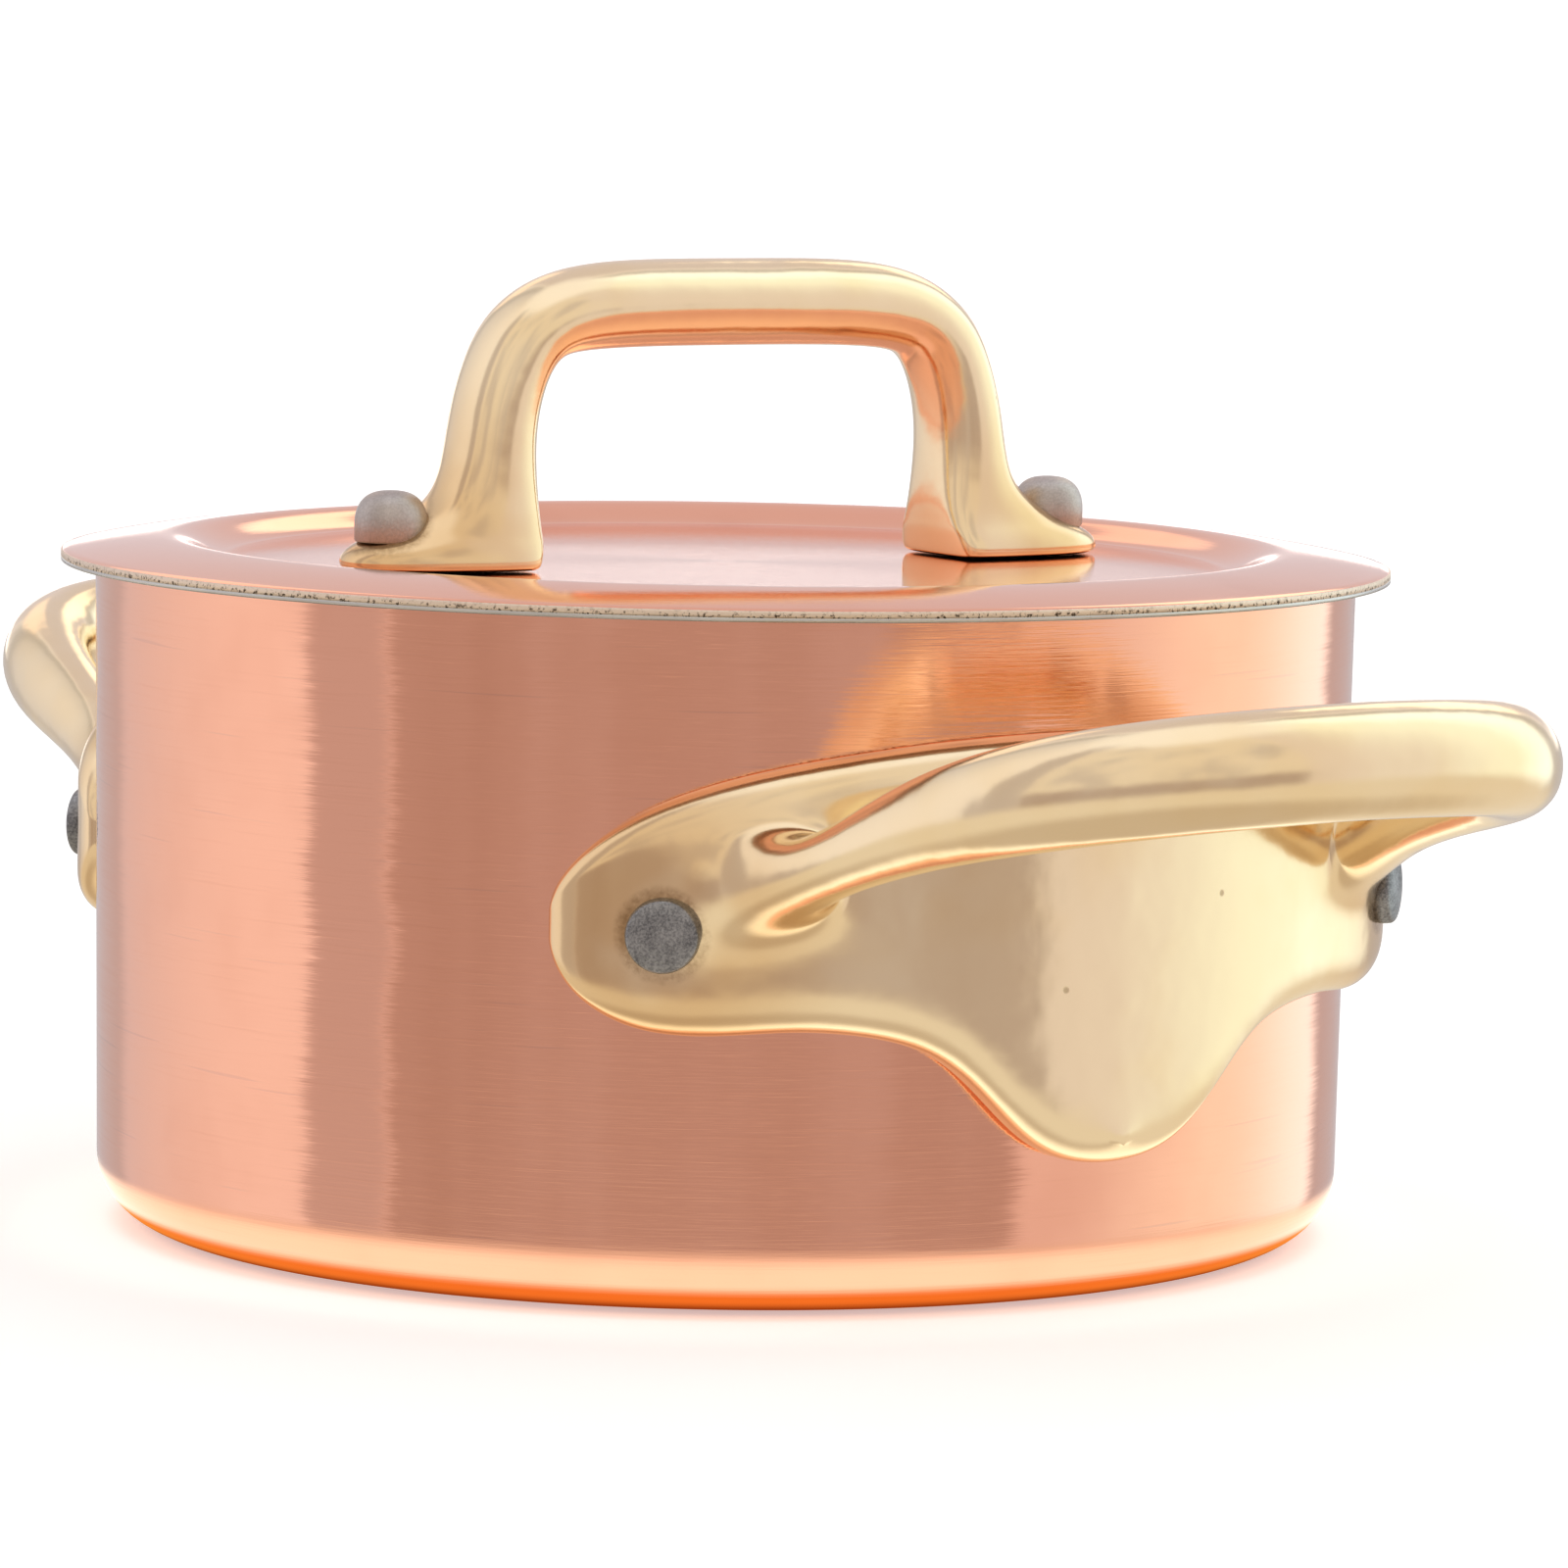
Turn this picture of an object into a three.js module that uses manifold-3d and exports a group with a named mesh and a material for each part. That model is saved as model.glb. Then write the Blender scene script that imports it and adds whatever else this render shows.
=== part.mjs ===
// Small copper stewpan with two cast brass side handles and a lift-off lid, in millimetres, +Z up.
// The origin is the middle of the base, on the surface the pan stands on. The side handles lie along X.
import * as THREE from 'three';
import { ParametricGeometry } from 'three/addons/geometries/ParametricGeometry.js';
import { TessellateModifier } from 'three/addons/modifiers/TessellateModifier.js';
import { mergeVertices } from 'three/addons/utils/BufferGeometryUtils.js';
import loadManifold from 'manifold-3d';

const wasm = await loadManifold();
wasm.setup();

// ---- driving dimensions ----

const turnSteps = 48; // flats round every large turned piece
const boltSteps = 14; // flats round a rivet or its hole
const loopSides = 10; // flats round a side handle's bar
const archSides = 14; // flats round the lid handle's bar
const seam = 0.05; // clearance between the copper and the steel bonded behind it

const pot = {
  rimRadius: 46.5, // outside, at the top
  footRadius: 46, // outside, just above the bottom corner
  cornerRadius: 5,
  height: 48.87,
  copper: 1.2,
  steel: 0.25,
};

const lid = {
  edgeRadius: 49.04,
  edgeTop: 49.42,
  crestRadius: 41,
  crestTop: 50.52,
  discRadius: 36.6, // the flat, let in below the crest
  discTop: 49,
  copper: 0.5,
  steel: 0.2,
};

const plate = {
  inside: 46.75, // radius of the face against the pot
  thickness: 3.2,
  edge: 0.9, // rounding of the outline's edges
  rivetAngle: THREE.MathUtils.degToRad(39),
  rivetHeight: 27.2,
  outlinePoints: 52,
  longestSide: 9, // of a triangle, before the plate is bent
};

const sideRivet = { head: 2.6, shank: 2, tail: 3.1, tailDepth: 1.2, headOutside: 51.3 };
const lidRivet = { head: 2.65, shank: 1.9, tail: 2.9, tailDepth: 1.1, reach: 28.15, seat: 51.1, top: 54.8 };
const holeClearance = 0.15;
const seatClearance = 0.35; // round a lid rivet's head, in the flat cut for it
const headGap = 0.1; // between a rivet and the faces it is closed on
const pastEverything = 8; // how far a drill runs on beyond what it cuts

// The loop of a side handle, from the middle of its bar to the root of one arm:
// place (x outwards, y along the bar, z up), then half the bar's height and half its width.
const loopRows = [
  { x: 75.6, y: 0, z: 41.3, tall: 3.95, wide: 3.5 },
  { x: 75.1, y: 6.5, z: 41.2, tall: 3.95, wide: 3.5 },
  { x: 73, y: 12.5, z: 40.7, tall: 3.95, wide: 3.5 },
  { x: 69, y: 17.5, z: 39.7, tall: 3.9, wide: 3.5 },
  { x: 63.6, y: 20.6, z: 38.3, tall: 3.75, wide: 3.4 },
  { x: 57.6, y: 22, z: 36.6, tall: 3.4, wide: 3.3 },
  { x: 52.2, y: 23, z: 34.8, tall: 3.05, wide: 3.3 },
  { x: 47.6, y: 24, z: 32.9, tall: 3, wide: 3.7 },
  { x: 44.4, y: 24.8, z: 31.4, tall: 3.2, wide: 3.9 },
  { x: 42.2, y: 25.4, z: 30.6, tall: 2.8, wide: 2.9 },
];
const loopTilt = THREE.MathUtils.degToRad(18); // the plane of the loop against level
const loopSquareness = 2.2; // 2 is an ellipse
const leftLoopDrop = 2.5; // the left casting's loop is dressed this much lower
const fullDropFrom = 60; // distance from the axis at which it has all of that drop

// Half of the lid's handle, from under its foot to the crown of its bar: place (x outwards, z up),
// then the reach of the section outwards, inwards and to each side, and how square its two halves are.
const archRows = [
  { x: 20.6, z: 49.05, out: 10.7, back: 2.4, side: 4.7, squareOut: 2.3, squareBack: 5 },
  { x: 20.6, z: 49.45, out: 11, back: 2.6, side: 4.95, squareOut: 2.3, squareBack: 5 },
  { x: 20.6, z: 50.4, out: 10.2, back: 2.75, side: 4.8, squareOut: 2.3, squareBack: 5 },
  { x: 20.6, z: 51.5, out: 7.4, back: 2.95, side: 4.25, squareOut: 2.3, squareBack: 4.5 },
  { x: 20.5, z: 53, out: 4.9, back: 3.05, side: 3.8, squareOut: 2.4, squareBack: 4 },
  { x: 20.3, z: 54.8, out: 3.3, back: 3.05, side: 3.55, squareOut: 2.5, squareBack: 3.4 },
  { x: 20.15, z: 57.4, out: 2.9, back: 2.9, side: 3.45, squareOut: 2.6, squareBack: 2.8 },
  { x: 19.75, z: 60.4, out: 2.8, back: 2.75, side: 3.45, squareOut: 2.5, squareBack: 2.5 },
  { x: 18.85, z: 63.4, out: 2.8, back: 2.75, side: 3.5, squareOut: 2.4, squareBack: 2.4 },
  { x: 17.3, z: 65.9, out: 2.95, back: 2.85, side: 3.6, squareOut: 2.2, squareBack: 2.2 },
  { x: 14.6, z: 67.55, out: 3.05, back: 3, side: 3.7, squareOut: 2, squareBack: 2 },
  { x: 9.9, z: 68.1, out: 3.15, back: 3.1, side: 3.8, squareOut: 1.8, squareBack: 1.8 },
  { x: 0, z: 68.15, out: 3.15, back: 3.15, side: 3.85, squareOut: 1.75, squareBack: 1.75 },
];
const lidHandleTurn = THREE.MathUtils.degToRad(86); // how the lid happens to sit on the pot

// ---- materials ----

const copper = new THREE.MeshStandardMaterial({ color: 0xd98f78, roughness: 0.22, metalness: 1 });
const steel = new THREE.MeshStandardMaterial({ color: 0xb9b6b1, roughness: 0.35, metalness: 1 });
const brass = new THREE.MeshStandardMaterial({ color: 0xdcbf8c, roughness: 0.15, metalness: 1 });
const castSteel = new THREE.MeshStandardMaterial({ color: 0x7d7a78, roughness: 0.55, metalness: 1 });

// ---- shape helpers ----

// Merges a geometry's corners, drops its empty triangles and turns its faces outwards.
function closed(geometry) {
  const bare = geometry.clone();
  bare.deleteAttribute('normal');
  bare.deleteAttribute('uv');
  const merged = mergeVertices(bare, 1e-3);
  const place = merged.getAttribute('position');
  const kept = [];
  let volume = 0;
  for (let i = 0; i < merged.index.count; i += 3) {
    const [a, b, c] = [0, 1, 2].map((k) => merged.index.getX(i + k));
    if (a === b || b === c || c === a) continue;
    kept.push(a, b, c);
    const [pa, pb, pc] = [a, b, c].map((k) => new THREE.Vector3().fromBufferAttribute(place, k));
    volume += pa.dot(pb.cross(pc));
  }
  if (volume < 0) kept.reverse();
  merged.setIndex(kept);
  return merged;
}

function solid(geometry) {
  const shape = closed(geometry);
  return new wasm.Manifold(
    new wasm.Mesh({
      numProp: 3,
      vertProperties: shape.getAttribute('position').array,
      triVerts: Uint32Array.from(shape.index.array),
    }),
  );
}

function surface(body) {
  const mesh = body.getMesh();
  const geometry = new THREE.BufferGeometry();
  geometry.setAttribute('position', new THREE.BufferAttribute(mesh.vertProperties, 3));
  geometry.setIndex(new THREE.BufferAttribute(mesh.triVerts, 1));
  return geometry;
}

// Takes every cutter out of a geometry.
function drilled(geometry, cutters) {
  const body = cutters.reduce((left, cutter) => left.subtract(solid(cutter)), solid(geometry));
  return surface(body);
}

// Turns a profile of [radius, height] points about Z.
function turned(profile, steps = turnSteps) {
  const points = profile.map(([radius, height]) => new THREE.Vector2(radius, height));
  return closed(new THREE.LatheGeometry(points, steps).rotateX(Math.PI / 2));
}

// A closed skin through rings of points, with a fan over each end.
function lofted(rings) {
  const sides = rings[0].length;
  const middle = (ring) => ring.reduce((sum, p) => sum.add(p), new THREE.Vector3()).divideScalar(sides);
  const ends = [middle(rings[0]), middle(rings.at(-1))];
  const point = (u, v, target) => {
    const row = Math.round(v * (rings.length + 1)) - 1;
    if (row < 0) target.copy(ends[0]);
    else if (row >= rings.length) target.copy(ends[1]);
    else target.copy(rings[row][Math.round(u * sides) % sides]);
  };
  return closed(new ParametricGeometry(point, sides, rings.length + 1));
}

// Values between the rows of a table of stations, on a Catmull-Rom spline through every column.
function between(rows, steps) {
  const last = rows.length - 1;
  const stations = [];
  for (let i = 0; i <= last * steps; i++) {
    const row = Math.min(Math.floor(i / steps), last - 1);
    const t = i / steps - row;
    const [a, b, c, d] = [-1, 0, 1, 2].map((k) => rows[THREE.MathUtils.clamp(row + k, 0, last)]);
    const station = {};
    for (const key of Object.keys(b)) {
      const curve = 2 * a[key] - 5 * b[key] + 4 * c[key] - d[key];
      const cubic = 3 * b[key] - a[key] - 3 * c[key] + d[key];
      station[key] = b[key] + 0.5 * t * (c[key] - a[key] + t * (curve + t * cubic));
    }
    stations.push(station);
  }
  return stations;
}

// The rows from one root to the middle, then mirrored in one of their columns to the other root.
function mirrored(rows, key) {
  const otherHalf = rows.slice(0, -1).reverse().map((row) => ({ ...row, [key]: -row[key] }));
  return [...rows, ...otherHalf];
}

// One point of an oval whose four quarters can differ, at an angle round it.
function ovalPoint(angle, out, back, side, squareOut, squareBack) {
  const power = 2 / (Math.cos(angle) > 0 ? squareOut : squareBack);
  const reach = Math.cos(angle) > 0 ? out : back;
  const across = Math.sign(Math.cos(angle)) * Math.abs(Math.cos(angle)) ** power * reach;
  const along = Math.sign(Math.sin(angle)) * Math.abs(Math.sin(angle)) ** power * side;
  return [across, along];
}

// Rings round a path: `level` is the direction that stays square to the path's plane.
function ringsAlong(places, level, sides, ovalAt) {
  return places.map((place, i) => {
    const before = places[Math.max(i - 1, 0)];
    const after = places[Math.min(i + 1, places.length - 1)];
    const forward = after.clone().sub(before).normalize();
    const outward = forward.clone().cross(level).normalize();
    const upright = outward.clone().cross(forward).normalize();
    return Array.from({ length: sides }, (_, k) => {
      const [across, along] = ovalAt(i, ((k + 0.5) / sides) * 2 * Math.PI);
      return place.clone().addScaledVector(outward, across).addScaledVector(upright, along);
    });
  });
}

// A round bar along X, from one distance out to another.
function barAlongX(radius, from, to) {
  const bar = new THREE.CylinderGeometry(radius, radius, to - from, boltSteps);
  return bar.rotateZ(-Math.PI / 2).translate((from + to) / 2, 0, 0);
}

// An upright round bar at a distance along X, from one height up to another.
function uprightBar(radius, distance, from, to) {
  const bar = new THREE.CylinderGeometry(radius, radius, to - from, boltSteps);
  return bar.rotateX(Math.PI / 2).translate(distance, 0, (from + to) / 2);
}

function mesh(name, geometry, material) {
  const piece = new THREE.Mesh(geometry, material);
  piece.name = name;
  return piece;
}

// ---- pot ----

// The pot's section at some depth behind its outer face, from the axis out and up to the rim.
function potLine(depth) {
  const centre = pot.footRadius - pot.cornerRadius;
  const radius = pot.cornerRadius - depth;
  const corner = [0, 1, 2, 3, 4].map((k) => {
    const angle = (k / 4) * (Math.PI / 2);
    return [centre + radius * Math.sin(angle), pot.cornerRadius - radius * Math.cos(angle)];
  });
  return [[0, depth], ...corner, [pot.rimRadius - depth, pot.height]];
}

function potLayer(outerDepth, innerDepth) {
  const layer = turned([...potLine(outerDepth), ...potLine(innerDepth).reverse()]);
  return drilled(layer, rivetAngles.map((angle) => sideHole.clone().rotateZ(angle)));
}

const drillFrom = pot.footRadius - pastEverything;
const drillTo = plate.inside + plate.thickness + pastEverything;
const sideHole = barAlongX(sideRivet.shank + holeClearance, drillFrom, drillTo);
sideHole.translate(0, 0, plate.rivetHeight);

const rivetAngles = [0, Math.PI].flatMap((side) => [side - plate.rivetAngle, side + plate.rivetAngle]);
const potBack = pot.copper + seam;

const potShell = mesh('pot_shell', potLayer(0, pot.copper), copper);
const potLining = mesh('pot_lining', potLayer(potBack, potBack + pot.steel), steel);

// ---- side handles ----

// The plate's outline laid flat, x round the pot and y up: a shield with a round lobe at each end
// and a drop in the middle.
function plateOutline() {
  const half = [
    [0, 40.5], [13, 40.1], [23, 38.6], [31, 36], [36.4, 33.1], [39.3, 27.4], [37, 22.8],
    [32, 20.2], [24, 20.4], [17.4, 20.2], [12.4, 18.4], [9.3, 15.2], [6, 12.2], [0, 10.7],
  ];
  const otherHalf = half.slice(1, -1).reverse().map(([x, y]) => [-x, y]);
  const points = [...half, ...otherHalf].map(([x, y]) => new THREE.Vector3(x, y, 0));
  const curve = new THREE.CatmullRomCurve3(points, true, 'centripetal');
  const inset = new THREE.Vector3(0, (half[0][1] + half.at(-1)[1]) / 2, 0);
  const flat = curve.getPoints(plate.outlinePoints).slice(0, -1).map((p) => {
    const toMiddle = inset.clone().sub(p).setLength(plate.edge);
    return new THREE.Vector2(p.x + toMiddle.x, p.y + toMiddle.y);
  });
  return new THREE.Shape(flat);
}

// The plate bent round the pot.
function handlePlate() {
  const flat = new THREE.ExtrudeGeometry(plateOutline(), {
    depth: plate.thickness - 2 * plate.edge,
    bevelThickness: plate.edge,
    bevelSize: plate.edge,
    bevelSegments: 2,
    steps: 1,
  });
  const fine = closed(new TessellateModifier(plate.longestSide).modify(flat));
  const place = fine.getAttribute('position');
  for (let i = 0; i < place.count; i++) {
    const angle = place.getX(i) / pot.rimRadius;
    const radius = plate.inside + plate.edge + place.getZ(i);
    place.setXYZ(i, radius * Math.cos(angle), radius * Math.sin(angle), place.getY(i));
  }
  return fine;
}

function handleLoop(drop) {
  const stations = between(mirrored([...loopRows].reverse(), 'y'), 2);
  const places = stations.map(({ x, y, z }) => {
    const share = THREE.MathUtils.smoothstep(x, pot.rimRadius, fullDropFrom);
    return new THREE.Vector3(x, y, z - drop * share);
  });
  const level = new THREE.Vector3(-Math.sin(loopTilt), 0, Math.cos(loopTilt));
  const rings = ringsAlong(places, level, loopSides, (i, angle) => {
    const { tall, wide } = stations[i];
    return ovalPoint(angle, wide, wide, tall, loopSquareness, loopSquareness);
  });
  return lofted(rings);
}

function sideHandle(drop) {
  const body = solid(handlePlate()).add(solid(handleLoop(drop)));
  const holes = [-plate.rivetAngle, plate.rivetAngle].map((angle) => sideHole.clone().rotateZ(angle));
  return drilled(surface(body), holes);
}

const rightHandle = mesh('handle_right', sideHandle(0), brass);
const leftHandle = mesh('handle_left', sideHandle(leftLoopDrop), brass);
leftHandle.rotation.z = Math.PI;

// ---- side rivets ----

function sideRivetShape() {
  const { head, shank, tail, tailDepth, headOutside } = sideRivet;
  const seat = plate.inside + plate.thickness + headGap;
  const tailSeat = pot.footRadius - potBack - pot.steel - headGap;
  const tailEnd = tailSeat - tailDepth;
  const profile = [
    [0, tailEnd], [tail * 0.6, tailEnd + 0.1], [tail * 0.9, tailEnd + 0.5], [tail, tailSeat],
    [shank, tailSeat], [shank, seat], [head, seat], [head, headOutside - 0.5],
    [head - 0.35, headOutside - 0.12], [0, headOutside],
  ];
  return turned(profile, boltSteps).rotateY(Math.PI / 2);
}

const rivetNames = ['rivet_right_1', 'rivet_right_2', 'rivet_left_1', 'rivet_left_2'];
const sideRivets = rivetNames.map((name, i) => {
  const rivet = mesh(name, sideRivetShape(), castSteel);
  rivet.position.z = plate.rivetHeight;
  rivet.rotation.z = rivetAngles[i];
  return rivet;
});

// ---- lid ----

// The lid's section at some depth below its top face, from the axis out to the edge.
function lidLine(depth) {
  const { edgeRadius, edgeTop, crestRadius, crestTop, discRadius, discTop } = lid;
  const rise = crestTop - discTop;
  const fall = crestTop - edgeTop;
  return [
    [0, discTop],
    [discRadius, discTop],
    [discRadius + 1.1, discTop + 0.1 * rise],
    [discRadius + 2.2, discTop + 0.45 * rise],
    [discRadius + 3.1, discTop + 0.82 * rise],
    [crestRadius - 0.3, crestTop],
    [crestRadius + 1, crestTop - 0.06 * fall],
    [crestRadius + 4, crestTop - 0.4 * fall],
    [edgeRadius, edgeTop],
  ].map(([radius, height]) => [radius, height - depth]);
}

function lidLayer(topDepth, underDepth) {
  const layer = turned([...lidLine(underDepth), ...lidLine(topDepth).reverse()]);
  return drilled(layer, [0, Math.PI].map((side) => lidHole.clone().rotateZ(lidHandleTurn + side)));
}

const lidDrillFrom = lid.discTop - pastEverything;
const lidHole = uprightBar(lidRivet.shank + holeClearance, lidRivet.reach, lidDrillFrom, lidRivet.top);

const lidBack = lid.copper + seam;
const lidShell = mesh('lid_shell', lidLayer(0, lid.copper), copper);
const lidLining = mesh('lid_lining', lidLayer(lidBack, lidBack + lid.steel), steel);

function lidHandleShape() {
  const stations = between(mirrored(archRows, 'x'), 2);
  const places = stations.map(({ x, z }) => new THREE.Vector3(x, 0, z));
  const level = new THREE.Vector3(0, -1, 0);
  const rings = ringsAlong(places, level, archSides, (i, angle) => {
    const { out, back, side, squareOut, squareBack } = stations[i];
    return ovalPoint(angle, out, back, side, squareOut, squareBack);
  });
  const seatFloor = lidRivet.seat - headGap;
  const seatRadius = lidRivet.head + seatClearance;
  const seat = uprightBar(seatRadius, lidRivet.reach, seatFloor, seatFloor + pastEverything);
  const cutters = [0, Math.PI].flatMap((side) => [lidHole, seat].map((cut) => cut.clone().rotateZ(side)));
  return drilled(lofted(rings), cutters);
}

const lidHandle = mesh('lid_handle', lidHandleShape(), brass);
lidHandle.rotation.z = lidHandleTurn;

function lidRivetShape() {
  const { head, shank, tail, tailDepth, seat, top } = lidRivet;
  const under = lid.discTop - lidBack - lid.steel - headGap;
  const profile = [
    [0, under - tailDepth], [tail * 0.65, under - tailDepth + 0.1], [tail, under - 0.4], [tail, under],
    [shank, under], [shank, seat], [head, seat], [head, seat + 1.4],
    [head * 0.9, seat + 2.5], [head * 0.6, top - 0.4], [head * 0.25, top - 0.05], [0, top],
  ];
  return turned(profile, boltSteps);
}

const upAxis = new THREE.Vector3(0, 0, 1);
const lidRivets = [0, Math.PI].map((side, i) => {
  const rivet = mesh(`lid_rivet_${i + 1}`, lidRivetShape(), castSteel);
  rivet.position.set(lidRivet.reach, 0, 0).applyAxisAngle(upAxis, lidHandleTurn + side);
  return rivet;
});

// ---- assembly ----

const potGroup = new THREE.Group();
potGroup.add(potShell, potLining, rightHandle, leftHandle, ...sideRivets);

const lidGroup = new THREE.Group();
lidGroup.add(lidShell, lidLining, lidHandle, ...lidRivets);

const pan = new THREE.Group();
pan.add(potGroup, lidGroup);

export default pan;
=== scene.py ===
from math import atan2, cos, degrees, pi, radians, sin

import bmesh
import bpy
from mathutils import Matrix, Vector


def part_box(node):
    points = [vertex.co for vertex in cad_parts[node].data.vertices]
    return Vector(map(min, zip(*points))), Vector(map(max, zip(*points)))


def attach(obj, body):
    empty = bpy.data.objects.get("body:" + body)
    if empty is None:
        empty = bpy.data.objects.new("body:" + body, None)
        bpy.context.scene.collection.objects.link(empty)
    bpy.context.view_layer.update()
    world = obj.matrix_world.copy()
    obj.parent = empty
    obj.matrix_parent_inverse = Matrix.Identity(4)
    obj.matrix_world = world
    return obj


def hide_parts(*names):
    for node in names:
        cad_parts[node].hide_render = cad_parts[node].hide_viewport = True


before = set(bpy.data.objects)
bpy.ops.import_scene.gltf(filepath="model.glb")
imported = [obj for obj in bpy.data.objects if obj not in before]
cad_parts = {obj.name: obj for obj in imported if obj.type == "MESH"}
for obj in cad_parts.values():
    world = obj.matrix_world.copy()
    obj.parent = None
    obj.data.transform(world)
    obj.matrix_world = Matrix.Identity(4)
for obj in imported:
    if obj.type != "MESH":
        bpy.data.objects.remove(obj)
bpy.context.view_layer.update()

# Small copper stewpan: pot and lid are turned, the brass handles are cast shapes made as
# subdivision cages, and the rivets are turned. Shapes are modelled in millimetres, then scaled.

mm = 0.001


def highCorner(node):
    low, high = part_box(node)
    return Vector(high) / mm


class Signal:
    # A shader socket that takes part in Python arithmetic: every operator adds a Math node.
    def __init__(self, shader, socket):
        self.shader = shader
        self.socket = socket

    def math(self, operation, *others):
        made = self.shader.node("Math", {"operation": operation}, dict(enumerate((self, *others))))
        return self.shader.read(made)

    def __add__(self, other):
        return self.math("ADD", other)

    __radd__ = __add__

    def __mul__(self, other):
        return self.math("MULTIPLY", other)

    def __sub__(self, other):
        return self.math("SUBTRACT", other)

    def absolute(self):
        return self.math("ABSOLUTE")

    def ramp(self, start, end):
        # 0 before start, 1 after end, eased between; start may be the larger
        made = self.shader.node(
            "MapRange",
            {"interpolation_type": "SMOOTHSTEP", "clamp": True},
            {"Value": self, "From Min": start, "From Max": end, "To Min": 0.0, "To Max": 1.0},
        )
        return self.shader.read(made)


class Shader:
    def __init__(self, tree):
        self.tree = tree
        tree.nodes.clear()

    def node(self, kind, settings=None, inputs=None):
        made = self.tree.nodes.new("ShaderNode" + kind)
        for name, value in (settings or {}).items():
            setattr(made, name, value)
        for name, value in (inputs or {}).items():
            self.feed(made.inputs[name], value)
        return made

    def feed(self, socket, value):
        if isinstance(value, Signal):
            self.tree.links.new(value.socket, socket)
        else:
            socket.default_value = value

    def read(self, made, output=0):
        return Signal(self, made.outputs[output])

    def place(self):
        # Object coordinates in millimetres, as a vector and as its three parts
        spot = self.read(self.node("TexCoord"), "Object")
        scaled = self.vector("SCALE", spot, Scale=1 / mm)
        parts = self.node("SeparateXYZ", inputs={0: scaled})
        return scaled, [self.read(parts, axis) for axis in "XYZ"]

    def vector(self, operation, *items, **named):
        made = self.node("VectorMath", {"operation": operation}, {**dict(enumerate(items)), **named})
        return self.read(made, "Value" if operation in ("DISTANCE", "LENGTH", "DOT_PRODUCT") else "Vector")

    def combine(self, x, y, z):
        return self.read(self.node("CombineXYZ", inputs={"X": x, "Y": y, "Z": z}))

    def noise(self, where, scale, detail=2.0, roughness=0.5, fourth=None):
        settings = {"noise_dimensions": "3D" if fourth is None else "4D"}
        inputs = {"Vector": where, "Scale": scale, "Detail": detail, "Roughness": roughness}
        if fourth is not None:
            inputs["W"] = fourth
        return self.read(self.node("TexNoise", settings, inputs), "Fac")

    def mix(self, factor, first, second):
        made = self.node("Mix", {"data_type": "RGBA", "clamp_factor": True}, {0: factor, 6: first, 7: second})
        return self.read(made, 2)

    def bump(self, height, distance, normal=None):
        # distance in millimetres for a height of 1
        inputs = {"Strength": 1.0, "Distance": distance * mm, "Height": height}
        if normal is not None:
            inputs["Normal"] = normal
        return self.read(self.node("Bump", inputs=inputs))

    def swayed(self, x, y, amount):
        # the surface normal turned a little round the vertical axis
        straight = self.read(self.node("NewGeometry"), "Normal")
        sideways = self.vector("NORMALIZE", self.combine(y * -1, x, 0.0))
        leaned = self.vector("ADD", straight, self.vector("SCALE", sideways, Scale=amount))
        return self.vector("NORMALIZE", leaned)

    def metal(self, color, roughness, normal):
        inputs = {"Base Color": color, "Roughness": roughness, "Metallic": 1.0, "Normal": normal}
        self.finish(self.node("BsdfPrincipled", inputs=inputs))

    def blend(self, factor, first, second):
        made = self.node("MixShader", inputs={0: factor})
        self.tree.links.new(first.outputs[0], made.inputs[1])
        self.tree.links.new(second.outputs[0], made.inputs[2])
        return made

    def finish(self, surface, output="OutputMaterial"):
        self.tree.links.new(surface.outputs[0], self.node(output).inputs["Surface"])


def newMaterial(name):
    material = bpy.data.materials.new(name)
    material.use_nodes = True
    return material, Shader(material.node_tree)


def tint(red, green, blue):
    return (red, green, blue, 1.0)


def copperMaterial(name, brushing, mirror):
    look = {
        "clean": tint(0.957, 0.563, 0.42),
        "worn": tint(0.86, 0.47, 0.335),
        "scratch": tint(0.80, 0.50, 0.40),
        "lines": 5.0,  # brush lines per millimetre of height
        "streak": 0.10,  # and how fast they change along their length
        "jitter": 0.055,
    }
    material, shader = newMaterial(name)
    spot, (x, y, z) = shader.place()
    radius = shader.vector("LENGTH", shader.combine(x, y, 0.0))
    along = look["streak"]
    across = shader.combine(radius * look["lines"], x * along, z * look["lines"])
    fine = shader.noise(across, 1.0, 3.0, 0.65, fourth=y * along)
    sparse = shader.noise(shader.combine(x * 0.06, radius * 3.0, z * 3.0), 1.0, 1.0, 0.4, fourth=y * 0.06)
    patches = shader.noise(spot, 0.07, 3.0, 0.55)
    smear = shader.noise(shader.combine(x * 0.05, y * 0.05, z * 0.14), 1.0, 2.0, 0.5)
    color = shader.mix(patches.ramp(0.5, 0.8) * 0.35, look["clean"], look["worn"])
    color = shader.mix(fine.ramp(0.5, 0.9) * 0.35, color, look["worn"])
    color = shader.mix(sparse.ramp(0.7, 0.76) * 0.5, color, look["scratch"])
    roughness = mirror + fine * 0.07 + patches.ramp(0.5, 0.8) * 0.05
    normal = shader.swayed(x, y, (fine - 0.5) * look["jitter"] + (smear - 0.5) * 0.05)
    shader.metal(color, roughness, shader.bump(fine, brushing, normal=normal))
    return material


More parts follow.
